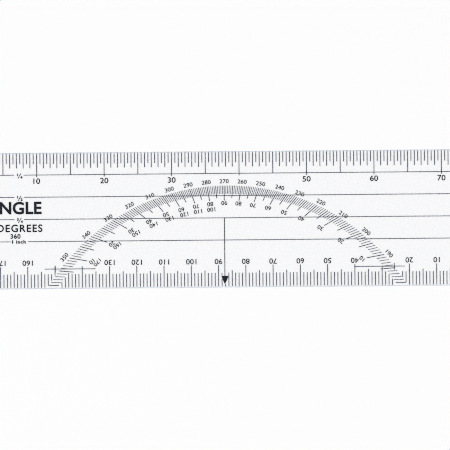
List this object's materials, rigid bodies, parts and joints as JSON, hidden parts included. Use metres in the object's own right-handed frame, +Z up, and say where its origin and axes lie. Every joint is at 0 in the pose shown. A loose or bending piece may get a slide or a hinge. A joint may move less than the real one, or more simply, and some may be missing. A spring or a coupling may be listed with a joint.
{
  "type": "goniometer",
  "caption": "Flat clear plastic pocket goniometer: a straight strip with a printed protractor, an index arrow, two edge scales and guide lines.",
  "frame": {"origin": "middle of the flat face that the strip lies on", "axes": "+X along the strip, to the right when the upper scale is read; +Y across it, towards the upper scale; +Z up through its thickness, out of the face that is read"},
  "size_m": [0.1524, 0.039, 0.0009],
  "materials": {
    "clear_vinyl": "clear rigid vinyl, polished faces, faint blue tint, lightly broken edges",
    "clear_film": "thin clear film laminated over the print",
    "ink": "dark slate screen-printing ink, matte"
  },
  "bodies": {
    "root": {"clear_body": "clear_vinyl", "back_film": "clear_film", "quarter_inch_line_left": "ink", "quarter_inch_line_right": "ink", "half_inch_line_left": "ink", "half_inch_line_right": "ink", "three_quarter_inch_line_left": "ink", "three_quarter_inch_line_right": "ink", "one_inch_line_left": "ink", "one_inch_line_right": "ink", "base_dash_left": "ink", "base_dash_right": "ink", "upper_scale_marks": "ink", "lower_scale_marks": "ink", "degree_marks": "ink", "index_arrow": "ink"}
  },
  "joints": []
}
